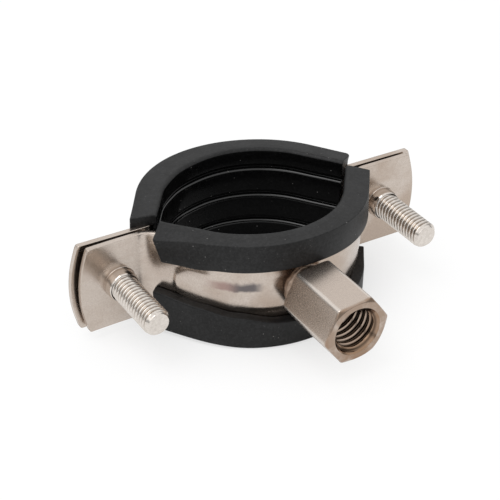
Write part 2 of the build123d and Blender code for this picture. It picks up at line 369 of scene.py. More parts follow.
def revolved(name, profile, centre_x, segments, wobble=None):
    """Solid of revolution about a line along Y, from (radius, y) pairs.

    wobble(direction) is added to each radius.
    """
    rings = []
    for step in range(segments):
        direction = 2 * pi * step / segments
        swell = wobble(direction) if wobble else 0.0
        ring = []
        for radius, y in profile:
            reach = radius + swell
            ring.append((centre_x + reach * cos(direction), y, reach * sin(direction)))
        rings.append(ring)
    points, faces = loft([*rings, rings[0]])
    return mesh_from(name, points, faces)


def arc(centre, radius, start, end, steps):
    """Points on an arc, angles in degrees."""
    angles = [radians(start + (end - start) * step / steps) for step in range(steps + 1)]
    return [(centre[0] + radius * cos(turn), centre[1] + radius * sin(turn)) for turn in angles]


def rounded(corners, steps=4):
    """Polygon through (x, y, radius) corners, each rounded unless its radius is 0."""
    outline = []
    for index, (x, y, radius) in enumerate(corners):
        here = np.array((x, y))
        if not radius:
            outline.append(here)
            continue
        before = np.array(corners[index - 1][:2]) - here
        after = np.array(corners[(index + 1) % len(corners)][:2]) - here
        before, after = before / np.linalg.norm(before), after / np.linalg.norm(after)
        half = np.arccos(np.clip(before @ after, -1, 1)) / 2
        reach = radius / tan(half)
        middle = here + (before + after) / np.linalg.norm(before + after) * radius / sin(half)
        first, last = here + before * reach - middle, here + after * reach - middle
        for step in range(steps + 1):
            share = step / steps
            spread = pi - 2 * half
            blend = (sin((1 - share) * spread) * first + sin(share * spread) * last) / sin(spread)
            outline.append(middle + blend)
    return np.array(outline)


def kept(value):
    """The value, held between 0 and 1."""
    return min(max(value, 0.0), 1.0)


def smooth(share):
    """Share from 0 to 1 whose slope is level at both ends."""
    return share * share * (3 - 2 * share)


def eased(keys, where):
    """Smooth value at a place between (place, value) keys."""
    places = [place for place, _ in keys]
    index = int(np.clip(np.searchsorted(places, where) - 1, 0, len(keys) - 2))
    (start, low), (end, high) = keys[index], keys[index + 1]
    return low + (high - low) * smooth(kept((where - start) / (end - start)))


def soft_min(first, second, blend):
    """Smaller of two numbers, rounded off where they cross."""
    overlap = max(blend - abs(first - second), 0.0) / blend
    return min(first, second) - overlap * overlap * blend / 4


# Bands


# Sections along the saddle, a leg and a bend
SADDLE_STEPS = 28
LEG_STEPS = 20
BEND_STEPS = 10
# The first section of the right leg's belly, and how many it spans
BELLY_START = 18
BELLY_STEPS = 36
# Arc steps on each rounded edge of the sheet, and the points of the two arcs on one side
EDGE_STEPS = 2
EDGE_POINTS = 2 * (EDGE_STEPS + 1)
# Share of the ear end's curve that is reached where its rounded corner starts
BULGE_AT_CORNER = 0.75
CORNER_STEPS = 4
# How far a hole's cutter reaches to each side of the ears
CUTTER_REACH = 0.01
HOLE_SEGMENTS = 72


def strip_stations(sizes, side, ear_y):
    """(point, normal, bead width share) on the outer face, apex to the ear's start, X positive."""
    turn, radius = sizes.saddle_angle, sizes.outer_radius
    centre = np.array((0.0, -side * sizes.saddle_offset))
    stations = []
    for step in range(SADDLE_STEPS + 1):
        here = turn * step / SADDLE_STEPS
        normal = np.array((sin(here), side * cos(here)))
        stations.append((centre + radius * normal, normal, 1.0))
    normal = np.array((sin(turn), side * cos(turn)))
    tangent = np.array((cos(turn), -side * sin(turn)))
    bend = sizes.front_bend_radius if side < 0 else sizes.rear_bend_radius
    depth = radius * cos(turn) - sizes.saddle_offset - side * ear_y
    leg = (depth - bend * (1 - cos(turn))) / sin(turn)
    start = stations[-1][0]
    for step in range(1, LEG_STEPS + 1):
        along = leg * step / LEG_STEPS
        past = kept((along - sizes.bead_leg_length + sizes.bead_half_width) / sizes.bead_half_width)
        stations.append((start + tangent * along, normal, (1 - past * past) ** 0.5))
    pivot = stations[-1][0] + normal * bend
    for step in range(1, BEND_STEPS + 1):
        here = turn * (1 - step / BEND_STEPS)
        normal = np.array((sin(here), side * cos(here)))
        stations.append((pivot - bend * normal, normal, 0.0))
    return stations


def bead_rise(sizes, z, width):
    """Share of the bead's height at this height on the strip: shoulders and a slightly barrelled top."""
    half = sizes.bead_half_width * width
    share = kept((half + sizes.bead_shoulder / 2 - abs(z)) / sizes.bead_shoulder) * min(width * 3, 1.0)
    barrel = 1 - sizes.bead_barrel * min(z / sizes.bead_half_width, 1.0) ** 2
    return smooth(share) * barrel


def strip_section(sizes):
    """Loop of (depth, z) round the strip, outer face first, and the count of points on a face."""
    half, rounding, thick = sizes.strip_width / 2, sizes.edge_rounding, sizes.strip_thickness
    shoulder = [sizes.bead_half_width + sizes.bead_shoulder * share for share in (-0.6, -0.3, 0, 0.3, 0.6)]
    inner = [half * share for share in (0.0, 0.07, 0.14, 0.21, 0.28, 0.34)]
    rows = [*inner, *shoulder, half * 0.55, half * 0.65, half * 0.8, half * 0.93, half - rounding]
    face = [-row for row in reversed(rows[1:])] + rows
    near, level = arc((0, 0), rounding, 60, 0, EDGE_STEPS), half - rounding
    edge = [(rounding - y, level + x) for x, y in near]
    edge += [(thick - rounding + y, level + x) for x, y in reversed(near)]
    outer = [(0.0, z) for z in face]
    inner_face = [(thick, z) for z in reversed(face)]
    far_edge = [(depth, -z) for depth, z in reversed(edge)]
    return [*outer, *edge, *inner_face, *far_edge], len(face)


def strip_mesh(sizes, side, ear_y, corner_x, bows, belly=0.0):
    """Bent strip with rounded ear corners.

    bows are the Y shifts of the left and right ear ends, belly the right leg's outward swell.
    """
    loop, face_count = strip_section(sizes)
    half, thick = sizes.strip_width / 2, sizes.strip_thickness
    rounding, corner = sizes.edge_rounding, sizes.ear_corner_radius
    stations = strip_stations(sizes, side, ear_y)
    ear_start = stations[-1][0][0]
    straight_end = corner_x - corner
    rows = []
    for share in (0.08, 0.2, 0.35, 0.5, 0.65, 0.8, 0.92, 1.0):
        rows.append((ear_start + (straight_end - ear_start) * share, share * BULGE_AT_CORNER, 1.0, 1.0))
    for step in range(1, CORNER_STEPS + 1):
        turn = pi / 2 * step / CORNER_STEPS
        width = 1 - corner * (1 - cos(turn)) / half
        bulge = BULGE_AT_CORNER + (1 - BULGE_AT_CORNER) * sin(turn)
        rows.append((straight_end + corner * sin(turn), bulge, width, 1.0))
    last_x = rows[-1][0]
    for turn in (30, 60, 90):
        inset = rounding * (1 - cos(radians(turn)))
        width = 1 - (corner + inset) / half
        rows.append((last_x - rounding + rounding * sin(radians(turn)), 1.0, width, 1 - 2 * inset / thick))
    rings = []
    for hand, bow in zip((-1, 1), bows):
        half_rings = []
        for step, (point, normal, bead) in enumerate(stations):
            ring = []
            swell = belly * sin(pi * kept((step - BELLY_START) / BELLY_STEPS)) ** 2 if hand > 0 else 0.0
            for depth, z in loop:
                rise = sizes.bead_height * bead_rise(sizes, z, bead) if depth == 0.0 else 0.0
                x, y = point - (depth - rise - swell) * normal
                ring.append((hand * x, y, z))
            half_rings.append(ring)
        for x, bulge, width, gauge in rows:
            ring = []
            for depth, z in loop:
                across = z * width
                reach = x + sizes.ear_end_bulge * bulge * (1 - (z / half) ** 2)
                level = thick / 2 + (depth - thick / 2) * gauge
                lean = bow * max(0.0, (reach - ear_start) / (corner_x - ear_start)) ** 2
                ring.append((hand * reach, ear_y - side * level + lean, across))
            half_rings.append(ring)
        rings.append(half_rings)
    left, right = rings
    whole = [*reversed(left), *right[1:]]
    points, faces = loft(whole)
    count = len(loop)
    for base in (0, (len(whole) - 1) * count):
        inner_start = face_count + EDGE_POINTS
        for index in range(face_count - 1):
            opposite = inner_start + face_count - 1 - index
            faces.append((base + index, base + index + 1, base + opposite - 1, base + opposite))
        faces.append(tuple(base + index for index in range(face_count - 1, inner_start + 1)))
        edge = [*range(inner_start + face_count - 1, count), 0]
        faces.append(tuple(base + index for index in edge))
    return mesh_from("strip", points, faces)


def collar_mesh(sizes, centre_x, lean):
    """Extruded collar on a front ear, its foot sunk in the sheet, its rim domed."""
    bore, radius, height = sizes.bore_radius, sizes.collar_radius, sizes.collar_height
    root, dome = sizes.collar_root, sizes.collar_dome
    sunk, bore_edge, lip_width = 0.0004, 0.00012, 0.0001
    foot = sunk + abs(lean)
    profile = [(bore, -foot), (bore, height - bore_edge), (bore + bore_edge / 3, height - bore_edge / 4)]
    rim = radius - bore - lip_width
    profile += [(radius - rim + rim * x, height - dome + dome * y) for x, y in arc((0, 0), 1.0, 90, 0, 12)]
    profile += arc((radius + root, root), root, 180, 270, 8)
    profile += [(radius + root + lip_width, -foot)]
    level = sizes.front_ear_y + lean
    flipped = [(reach, level - y) for reach, y in profile]
    return revolved("collar", flipped, centre_x, HOLE_SEGMENTS)


def hole_cutters(radius, offset_x):
    """Plain cutters along Y, through the left and the right ear."""
    low, high = -CUTTER_REACH, CUTTER_REACH
    profile = [(0.0, low), (radius, low), (radius, high), (0.0, high)]
    return [revolved("hole", profile, hand * offset_x, HOLE_SEGMENTS) for hand in (-1, 1)]


# Rubber


# Sections round a rubber saddle
SADDLE_ROWS = 73
# How much of the wall, and of its rounded mouth, counts as the gripping face
GRIP_SHARE = 0.6
# Margins, in metres, that tell the end faces, the flanges and the ridge apart
FACE_MARGIN = 0.0002
FLANGE_MARGIN = 0.0003
RIDGE_MARGIN = 0.0005
FOOT_MARGIN = 0.00005


def slot_outside(sizes):
    """From the face that grips the pipe to the far side of the strip's slot."""
    return sizes.wall + sizes.slot


def liner_depth(sizes):
    """From the face that grips the pipe to the ridge."""
    return slot_outside(sizes) + sizes.flange


def liner_section(sizes):
    """Outline of the channel as (outwards, height) points, with the strip's slot between its walls."""
    half, window = sizes.height / 2, sizes.window / 2
    depth, slot_out = liner_depth(sizes), slot_outside(sizes)
    slot_half = sizes.slot_height / 2
    slot_corner, window_foot, window_edge = 0.00012, 0.0002, 0.0003
    groove_mouth, groove_floor = 0.00025, 0.0003
    upper = [
        (slot_out, slot_half, slot_corner),
        (slot_out, window, window_foot),
        (depth, window, window_edge),
        (depth, half - sizes.face_drop, sizes.ridge_rounding),
        *((depth * share, half - sizes.face_drop * share, 0.0) for share in (0.93, 0.88, 0.82, 0.7, 0.45)),
        (0.0, half, sizes.mouth_rounding),
    ]
    grooves = []
    for step in (1, 0, -1):
        middle = sizes.groove_offset + step * sizes.groove_pitch
        top, bottom = middle + sizes.groove_width / 2, middle - sizes.groove_width / 2
        grooves += [(0.0, top, groove_mouth), (sizes.groove_depth, top, groove_floor)]
        grooves += [(sizes.groove_depth, bottom, groove_floor), (0.0, bottom, sizes.groove_lip)]
    lower = [(reach, -height, radius) for reach, height, radius in reversed(upper)]
    slot = [(sizes.wall, -slot_half, slot_corner), (sizes.wall, slot_half, slot_corner)]
    return rounded([*upper, *grooves, *lower, *slot])


def liner_mesh(sizes, band, side, runs, drift, setback):
    """Channel swept round one saddle, its gripping face and grooves in the second material.

    runs(hand, reach) is the straight run at each end, setback(hand, reach, height) what is cut from it,
    and drift(where, reach, height) how far the rubber stands out and up from its plain section.
    """
    outline = liner_section(sizes)
    ahead, behind = np.roll(outline, -1, axis=0), np.roll(outline, 1, axis=0)
    along = ahead - behind
    normals = np.stack((along[:, 1], -along[:, 0]), axis=1)
    normals /= np.linalg.norm(normals, axis=1)[:, None]
    area = np.sum(outline[:, 0] * ahead[:, 1] - ahead[:, 0] * outline[:, 1])
    normals *= np.sign(area)
    turn, radius = band.saddle_angle, sizes.saddle_radius
    centre = np.array((0.0, -side * band.saddle_offset))
    depth = liner_depth(sizes)
    ridge_run = (radius + depth) * turn
    stations = []
    for hand in (-1, 1):
        ends = [(hand, share, 0.0, 0.0) for share in (0.12, 0.3, 0.5, 0.7, 0.85, 0.94)]
        for lean in (0, 30, 60, 90):
            inset = sizes.end_rounding * (1 - cos(radians(lean)))
            back = sizes.end_rounding * (1 - sin(radians(lean)))
            ends.append((hand, 1.0, inset, back))
        stations.append(ends)
    saddle = [(0, share, 0.0, 0.0) for share in np.linspace(-1, 1, SADDLE_ROWS)]
    rings = []
    for hand, share, inset, back in [*reversed(stations[0]), *saddle, *stations[1]]:
        ring = []
        for (reach, height), normal in zip(outline, normals):
            here, level = (reach, height) - normal * inset
            if hand == 0:
                facing = turn * share
                run, where = 0.0, facing * (radius + depth)
                lean = facing
            else:
                lean = hand * turn
                run = share * (runs(hand, reach) - setback(hand, reach, height)) - back
                where = hand * (ridge_run + run)
            outwards = np.array((sin(lean), side * cos(lean)))
            forwards = np.array((hand * cos(turn), -side * sin(turn)))
            x, y = centre + outwards * (radius + here) + forwards * run
            shift_out, shift_up = drift(where, reach, height)
            x, y = np.array((x, y)) + outwards * shift_out
            ring.append((x, y, level + shift_up))
        rings.append(ring)
    points, faces = loft(rings)
    count = len(outline)
    grip_half = sizes.height / 2 - sizes.mouth_rounding * GRIP_SHARE
    inside = (outline[:, 0] < sizes.wall * GRIP_SHARE) & (np.abs(outline[:, 1]) < grip_half)
    slots = [int(inside[column]) for _ in rings[1:] for column in range(count)]
    faces.append(tuple(range(count)))
    faces.append(tuple(range((len(rings) - 1) * count, len(rings) * count)))
    return mesh_from("channel", points, faces, [*slots, 0, 0])


def front_drift(sizes):
    """How the front rubber's flanges wave, from keys of (place along the ridge, shift), left to right."""
    ridge_z, free_z = sizes.height / 2 - sizes.face_drop, sizes.window / 2
    depth, slot_half = liner_depth(sizes), sizes.slot_height / 2
    flange_foot = slot_outside(sizes) - FOOT_MARGIN
    upper_ridge = (
        (-0.034, -0.0009), (-0.025, 0.0002), (-0.018, 0.0006),
        (0.0, 0.0007), (0.02, 0.0003), (0.034, 0.0),
    )
    upper_free = (
        (-0.034, -0.0004), (-0.026, 0.0), (-0.019, 0.0007),
        (0.0, 0.0011), (0.02, 0.0005), (0.034, 0.0),
    )
    lower_free = (
        (-0.034, 0.0029), (-0.024, 0.0019), (-0.016, 0.0008),
        (-0.006, -0.0007), (0.02, -0.0011), (0.034, -0.0024),
    )
    lower_ridge = ((-0.034, 0.0003), (-0.025, 0.0001), (-0.012, -0.0004), (0.0, -0.0004), (0.034, -0.0002))
    lower_free_out = ((0.016, 0.0), (0.025, -0.0006), (0.034, -0.0018))
    upper_out = ((-0.034, 0.0010), (-0.022, -0.0003), (0.0, -0.0007), (0.02, -0.0003), (0.034, 0.0))
    mouth_out = ((-0.034, 0.0012), (-0.024, 0.0004), (-0.012, 0.0), (0.022, 0.0), (0.034, 0.0003))

    def drift(where, reach, height):
        ridge, free = (upper_ridge, upper_free) if height > 0 else (lower_ridge, lower_free)
        level, across = abs(height), min(reach / depth, 1.0)
        share = kept((level - free_z) / (ridge_z - free_z))
        flange_up = eased(free, where) * (1 - share) + eased(ridge, where) * share
        out = eased(upper_out, where) * across if height > free_z else 0.0
        end_face = level > slot_half + FACE_MARGIN
        lip = across if end_face else min(reach / sizes.wall, 1.0)
        mouth = eased(mouth_out, where) * (1 - lip)
        if reach >= flange_foot and level < slot_half - FLANGE_MARGIN:
            return out * share, flange_up
        if end_face:
            return out + mouth, eased(ridge, where) * across
        if reach > depth - RIDGE_MARGIN:
            pinch = eased(lower_free_out, where) * (1 - share) if height < 0 else 0.0
            return out * share + pinch, flange_up
        return mouth, 0.0

    return drift


def rear_drift(sizes):
    """How the rear rubber bellies out on its left, from the same kind of keys."""
    depth = liner_depth(sizes)
    ridge_out = ((-0.034, 0.0010), (-0.018, 0.0012), (0.013, 0.0), (0.034, 0.0))
    mouth_out = (
        (-0.034, 0.0012), (-0.026, 0.0010), (-0.016, 0.0004),
        (-0.006, 0.0), (0.024, 0.0), (0.034, 0.0003),
    )

    def drift(where, reach, height):
        if abs(height) > sizes.slot_height / 2 + FACE_MARGIN:
            across = min(reach / depth, 1.0)
            return eased(mouth_out, where) * (1 - across) + eased(ridge_out, where) * across, 0.0
        if reach > depth - RIDGE_MARGIN:
            return eased(ridge_out, where), 0.0
        return eased(mouth_out, where) * (1 - min(reach / sizes.wall, 1.0)), 0.0

    return drift


# Node trees


class Wire:
    """One socket of a node tree, with the arithmetic that adds Math nodes to it."""

    def __init__(self, tree, socket=None):
        self.tree = tree
        self.socket = socket

    def node(self, kind, settings=None, inputs=None, output=0):
        """Adds a node: its settings first, then the values or links of its sockets."""
        made = self.tree.nodes.new(kind)
        for name, value in (settings or {}).items():
            setattr(made, name, value)
        for name, value in (inputs or {}).items():
            self.feed(self.find(made.inputs, name), value)
        return Wire(self.tree, self.find(made.outputs, output))

    def find(self, sockets, name):
        """The socket with this number, identifier or name."""
        if isinstance(name, int):
            return sockets[name]
        exact = [socket for socket in sockets if socket.identifier == name]
        return (exact or [socket for socket in sockets if socket.name == name])[0]

    def feed(self, socket, value):
        """Links a wire to a socket, or sets the socket's own value."""
        if isinstance(value, Wire):
            self.tree.links.new(value.socket, socket)
        elif hasattr(value, "__len__") and not isinstance(value, str):
            wanted = len(socket.default_value)
            socket.default_value = (*value, 1.0) if wanted > len(value) else tuple(value)
        else:
            socket.default_value = value

    def math(self, operation, *values):
        """A Math node on this value and the others."""
        return self.node("ShaderNodeMath", {"operation": operation}, dict(enumerate((self, *values))))

    def __add__(self, other):
        return self.math("ADD", other)

    __radd__ = __add__

    def __sub__(self, other):
        return self.math("SUBTRACT", other)

    def __rsub__(self, other):
        return self.math("MULTIPLY_ADD", -1.0, other)

    def __mul__(self, other):
        return self.math("MULTIPLY", other)

    __rmul__ = __mul__

    def __truediv__(self, other):
        return self.math("DIVIDE", other)

    def clamped(self):
        """This value, held between 0 and 1."""
        return self.math("MAXIMUM", 0.0).math("MINIMUM", 1.0)

    def between(self, low, high):
        """0 below low, 1 above high, smooth in between."""
        settings = {"interpolation_type": "SMOOTHSTEP"}
        return self.node("ShaderNodeMapRange", settings, {"Value": self, "From Min": low, "From Max": high})

    def within(self, rise, fall):
        """0 before rise and after fall, 1 between them. Each is a (low, high) pair."""
        return self.between(*rise) * (1.0 - self.between(*fall))

    def size(self):
        """Length of this vector."""
        return self.node("ShaderNodeVectorMath", {"operation": "LENGTH"}, {0: self}, "Value")

    def mixed(self, first, second):
        """Colour from first to second by this value."""
        inputs = {"Factor_Float": self, "A_Color": first, "B_Color": second}
        return self.node("ShaderNodeMix", {"data_type": "RGBA"}, inputs, "Result_Color")


# Threads


# Shares of half a pitch between which a thread's flank rises from root to crest
FLANK_SHARES = (0.12, 0.92)


def thread_tree(name, internal):
    """Geometry tree of one screw thread along +Z, from its start at Z 0 to Length."""
    tree = bpy.data.node_groups.new(name, "GeometryNodeTree")
    face = tree.interface
    for label in ("Crest Radius", "Root Radius", "Pitch", "Length"):
        face.new_socket(label, in_out="INPUT", socket_type="NodeSocketFloat")
    for label in ("Start Radius", "Start Slope", "End Radius"):
        face.new_socket(label, in_out="INPUT", socket_type="NodeSocketFloat")
    for label in ("Turns", "Segments", "Flank Points"):
        face.new_socket(label, in_out="INPUT", socket_type="NodeSocketInt")
    face.new_socket("Material", in_out="INPUT", socket_type="NodeSocketMaterial")
    face.new_socket("Geometry", in_out="OUTPUT", socket_type="NodeSocketGeometry")
    given = tree.nodes.new("NodeGroupInput")
    start = Wire(tree)
    sizes = {socket.name: Wire(tree, socket) for socket in given.outputs if socket.name}
    turns, pitch, reach = sizes["Turns"], sizes["Pitch"], sizes["Length"]
    columns = turns * sizes["Segments"] + 1
    rows = sizes["Flank Points"] + 1
    spread = {"Size X": 1.0, "Size Y": 1.0, "Vertices X": columns, "Vertices Y": rows}
    grid = start.node("GeometryNodeMeshGrid", None, spread)
    across, along, _ = parts_of(start, start.node("GeometryNodeInputPosition"))
    around, flank = across + 0.5, along + 0.5
    direction = around * turns * (2 * pi)
    raw = (around * turns + flank - 1.0) * pitch
    wave = (flank * 2 - 1.0).math("ABSOLUTE")
    rise = wave.between(*FLANK_SHARES)
    radius = sizes["Root Radius"] + rise * (sizes["Crest Radius"] - sizes["Root Radius"])
    height = raw.math("MAXIMUM", 0.0).math("MINIMUM", reach)
    slope = height * sizes["Start Slope"]
    if internal:
        radius = radius.math("MAXIMUM", sizes["Start Radius"] - slope)
    else:
        radius = radius.math("MINIMUM", sizes["Start Radius"] + slope)
    radius = radius.math("MINIMUM", sizes["End Radius"] + (reach - height))
    spot = {"X": radius * direction.math("COSINE"), "Y": radius * direction.math("SINE"), "Z": height}
    moved = start.node("ShaderNodeCombineXYZ", None, spot)
    shaped = start.node("GeometryNodeSetPosition", None, {"Geometry": grid, "Position": moved})
    near = {"Geometry": shaped, "Distance": MERGE_DISTANCE}
    merged = start.node("GeometryNodeMergeByDistance", None, near)
    shaded = start.node("GeometryNodeSetShadeSmooth", None, {"Geometry": merged})
    plain = start.node("GeometryNodeRealizeInstances", None, {"Geometry": shaded})
    dressed = {"Geometry": plain, "Material": sizes["Material"]}
    result = start.node("GeometryNodeSetMaterial", None, dressed)
    sink = tree.nodes.new("NodeGroupOutput")
    tree.links.new(result.socket, sink.inputs[0])
    return tree


def thread_mesh(tree, values, material, placed):
    """The tree's thread as a plain mesh, moved into place."""
    made = new_object("thread", bpy.data.meshes.new("thread"))
    modifier = made.modifiers.new("thread", "NODES")
    modifier.node_group = tree
    known = {item.name: item.identifier for item in tree.interface.items_tree if item.in_out == "INPUT"}
    for label, value in values.items():
        modifier[known[label]] = value
    modifier[known["Material"]] = material
    mesh = applied(made)
    bpy.data.objects.remove(made)
    mesh.transform(placed)
    return mesh


# Hexagons


# Places of the columns on a flat, from corner to corner, and how many go round the whole bar
HALF_FLAT = (0.01, 0.026, 0.05, 0.1, 0.18, 0.28, 0.39)
FLAT_SHARES = (0.0, *HALF_FLAT, 0.5, *(1 - share for share in reversed(HALF_FLAT)))
HEXAGON_COLUMNS = 6 * len(FLAT_SHARES)
# Rounding of an end face, and how far each ring lies behind that face with its share of the rounding
FACE_ROUNDING = 0.00012
FACE_RINGS = ((0.0, 1.0), (0.00002, 0.42), (0.00006, 0.12))
TURNED_RINGS = tuple((drop, 0.0) for drop in (0.00012, 0.0002, 0.0003, 0.0004, 0.00055, 0.0008))
# Softening where a turned corner meets the bar
TURNED_BLEND = 0.0002


def hexagon_columns(across_flats, roll, edge):
    """(direction, radius) of each column round a hexagon bar with softened edges."""
    columns = []
    for side in range(6):
        for share in FLAT_SHARES:
            local = radians(60) * share
            nearest = local if share <= 0.5 else local - radians(60)
            first = across_flats / 2 / cos(nearest + radians(30))
            second = across_flats / 2 / cos(nearest - radians(30))
            columns.append((roll + radians(60) * side + local, soft_min(first, second, edge)))
    return columns


def hexagon_rings(across_flats, roll, start_y, end_y, corners, slope, edge):
    """Rings of a hexagon bar along Y whose corners are turned down at both ends.

    corners are the radii at the start and end faces, slope their slope, edge the long edges' softening.
    """
    columns = hexagon_columns(across_flats, roll, edge)
    toward = 1 if end_y > start_y else -1
    rings = []
    for face_y, inwards, corner in ((start_y, toward, corners[0]), (end_y, -toward, corners[1])):
        part = []
        for drop, inset in (*FACE_RINGS, *TURNED_RINGS):
            ring = []
            for direction, radius in columns:
                turned = soft_min(radius, corner + drop / tan(slope), TURNED_BLEND) - inset * FACE_ROUNDING
                ring.append((turned * cos(direction), face_y + inwards * drop, turned * sin(direction)))
            part.append(ring)
        rings.append(part)
    return [*rings[0], *reversed(rings[1])]


def circle_ring(radius, y, roll):
    """Evenly spaced ring that follows on from a hexagon's rings."""
    steps = [roll + 2 * pi * step / HEXAGON_COLUMNS for step in range(HEXAGON_COLUMNS)]
    return [(radius * cos(step), y, radius * sin(step)) for step in steps]


# Finishes


def new_material(name):
    """An empty node material, and a wire to build it from."""
    made = bpy.data.materials.new(name)
    made.use_nodes = True
    made.node_tree.nodes.clear()
    return made, Wire(made.node_tree)


def end_material(made, shader):
    """Links the shader to the material's surface."""
    output = made.node_tree.nodes.new("ShaderNodeOutputMaterial")
    made.node_tree.links.new(shader.socket, output.inputs["Surface"])
    return made


def principled(made, wire, inputs, height, strength, distance):
    """Ends a material in one shader, with a bump of this height, strength and distance."""
    bump = {"Height": height, "Strength": strength, "Distance": distance}
    inputs["Normal"] = wire.node("ShaderNodeBump", None, bump)
    return end_material(made, wire.node("ShaderNodeBsdfPrincipled", None, inputs))


def metal(made, wire, base, rough, *bump):
    """Ends a material as bare metal."""
    inputs = {"Base Color": base, "Metallic": 1.0, "Roughness": rough}
    return principled(made, wire, inputs, *bump)


def object_place(wire):
    """The place on the object, in metres."""
    return wire.node("ShaderNodeTexCoord", None, None, "Object")


def parts_of(wire, place):
    """X, Y and Z of a place."""
    split = wire.node("ShaderNodeSeparateXYZ", None, {0: place})
    return [Wire(wire.tree, socket) for socket in split.socket.node.outputs]


def from_axis(wire, place):
    """Distance of a place from the Y axis."""
    flat = wire.node("ShaderNodeVectorMath", {"operation": "MULTIPLY"}, {0: place, 1: (1.0, 0.0, 1.0)})
    return flat.size()


def noise(wire, place, scale, detail=3.0, roughness=0.55):
    """Noise with this many cells to the metre."""
    inputs = {"Vector": place, "Scale": scale, "Detail": detail, "Roughness": roughness}
    return wire.node("ShaderNodeTexNoise", None, inputs)


def cells(wire, place, scale, output):
    """Distance or colour of scattered cells, this many to the metre."""
    return wire.node("ShaderNodeTexVoronoi", None, {"Vector": place, "Scale": scale}, output)


def stretched(wire, place, scale):
    """The place scaled on each axis, which draws a pattern out where the scale is small."""
    return wire.node("ShaderNodeMapping", None, {"Vector": place, "Scale": scale})


# Patterns on steel, in cells to the metre
MOTTLE_SCALE = 2600
SCREW_MOTTLE_SCALE = 1700
GRAIN_SCALE = 5200
SCRATCH_SCALE = 1900
STREAK_SCALE = 420
BLOTCH_SCALE = 140
DRAWN_SCALE = 4200
TINT_SCALE = 260
WELD_SCALE = 700
# Patterns on rubber, in cells to the metre
BLOOM_SCALE = 190
SKIN_SCALE = 2300
PORE_SCALE = 1500
SPECK_SCALE = 620
FINE_SPECK_SCALE = 1700

# Marks on the strips, each as the (low, high) places between which it comes or goes
# Painted shade: where the right ear's lower end is painted darker
PAINTED_SHADE_EAR_X = (0.026, 0.031)
PAINTED_SHADE_EAR_Z = (-0.009, 0.001)
# Painted light: the warm blotches thin out towards the left ear, painting it paler
PAINTED_LIGHT_LEFT_X = (-0.034, -0.008)
# Painted reflection beside the boss: its heights, its ends, where it turns from red to slate, and its
# waviness
PAINTED_REFLECTION_Z = ((0.0001, 0.0008), (0.0018, 0.0029))
PAINTED_REFLECTION_X = ((-0.0195, -0.0160), (-0.0112, -0.0088))
PAINTED_REFLECTION_TURNS_X = (-0.0160, -0.0130)
PAINTED_REFLECTION_WAVE = 0.0016
COLLAR_X = (0.0284, 0.0288)
COLLAR_ABOVE_EAR = (-0.0009, -0.0006)
# Painted shade: a dark ring round each collar's bore
COLLAR_BORE_RIM = (0.00008, 0.00022)

# Marks on the boss: depths from its mouth or base, distances from its radii or axis, and a height
NEAR_MOUTH = (0.0001, 0.0009)
# Near the base, the tint also stands for painted shade
NEAR_BASE = (-0.0022, 0.0004)
THREAD_STARTS = (0.0003, 0.0009)
THREAD_ENDS = (0.00004, 0.0001)
COUNTERSINK = ((0.00004, 0.0001), (0.0014, 0.0030))
COUNTERSINK_RIM = (-0.00006, 0.00002)
TURNED_CORNERS = (0.0001, 0.0007)
LOWER_END_Z = (-0.0066, -0.0034)
WORN_EDGES = (0.00742, 0.00756)


def strip_steel(finish, band, screw_x, name, with_painted_reflection):
    """Satin rolled sheet: warm blotches, grain and brighter collars, with painted light and shade: the left
    ear paler, the right ear's lower end darker, a dark ring in each collar's bore and, when asked for, a
    dark reflection beside the boss.
    """
    made, wire = new_material(name)
    place = object_place(wire)
    x, y, z = parts_of(wire, place)
    aside = x.math("ABSOLUTE")
    # Painted shade on the right ear's lower end, added to the warm blotches
    painted_ear_shade = x.between(*PAINTED_SHADE_EAR_X) * (1.0 - z.between(*PAINTED_SHADE_EAR_Z))
    blotch_and_painted_light = noise(wire, place, BLOTCH_SCALE, detail=4.0).between(0.35, 0.70)
    # Random warm blotches, thinned on the left ear as painted light, plus the right ear's painted shade
    blotch_and_painted_light = (blotch_and_painted_light * (0.35 + x.between(*PAINTED_LIGHT_LEFT_X) * 0.65) + painted_ear_shade * 0.9).clamped()
    mottle = noise(wire, place, MOTTLE_SCALE, detail=5.0, roughness=0.6).between(0.30, 0.72)
    grain = noise(wire, stretched(wire, place, (0.12, 0.12, 1.0)), GRAIN_SCALE)
    scratched = stretched(wire, place, (0.10, 0.10, 1.0))
    scratch = noise(wire, scratched, SCRATCH_SCALE, detail=2.0).between(0.66, 0.70)
    streaked = stretched(wire, place, (0.4, 0.4, 1.6))
    streak = noise(wire, streaked, STREAK_SCALE, detail=4.0).between(0.42, 0.66)
    base = blotch_and_painted_light.mixed(finish.strip_steel, finish.strip_warm)
    base = (streak * 0.22).mixed(base, finish.strip_warm)
    base = (mottle * 0.20).mixed(base, [shade * 0.62 for shade in finish.strip_warm])
    if with_painted_reflection:
        # A dark reflection painted on the band beside the boss, on the front strip only
        wave = noise(wire, place, STREAK_SCALE, detail=4.0) * PAINTED_REFLECTION_WAVE - PAINTED_REFLECTION_WAVE / 2
        window = (z + wave).within(*PAINTED_REFLECTION_Z) * (x + wave).within(*PAINTED_REFLECTION_X)
        smear = x.between(*PAINTED_REFLECTION_TURNS_X).mixed(finish.painted_reflection_red, finish.painted_reflection_slate)
        base = (window * 0.92).mixed(base, smear)
    off_sheet = 1.0 - (y - band.front_ear_y).between(*COLLAR_ABOVE_EAR)
    collar = aside.between(*COLLAR_X) * off_sheet
    base = (collar * 0.7).mixed(base, finish.screw_steel)
    # Painted shade: a dark ring in each collar's bore, where the gap round the screw lies in shade
    beside = aside - screw_x
    from_screw = (beside * beside + z * z).math("SQRT")
    painted_gap_shade = collar * (1.0 - (from_screw - band.bore_radius).between(*COLLAR_BORE_RIM))
    base = (painted_gap_shade * 0.85).mixed(base, finish.thread_shade)
    rough = finish.strip_roughness + mottle * 0.02 + scratch * 0.05 - collar * 0.13
    height = (grain * 0.4 + mottle * 0.12 - scratch * 0.3) * (1.0 - collar * 0.8)
    return metal(made, wire, base, rough, height, 0.06, 0.00002)


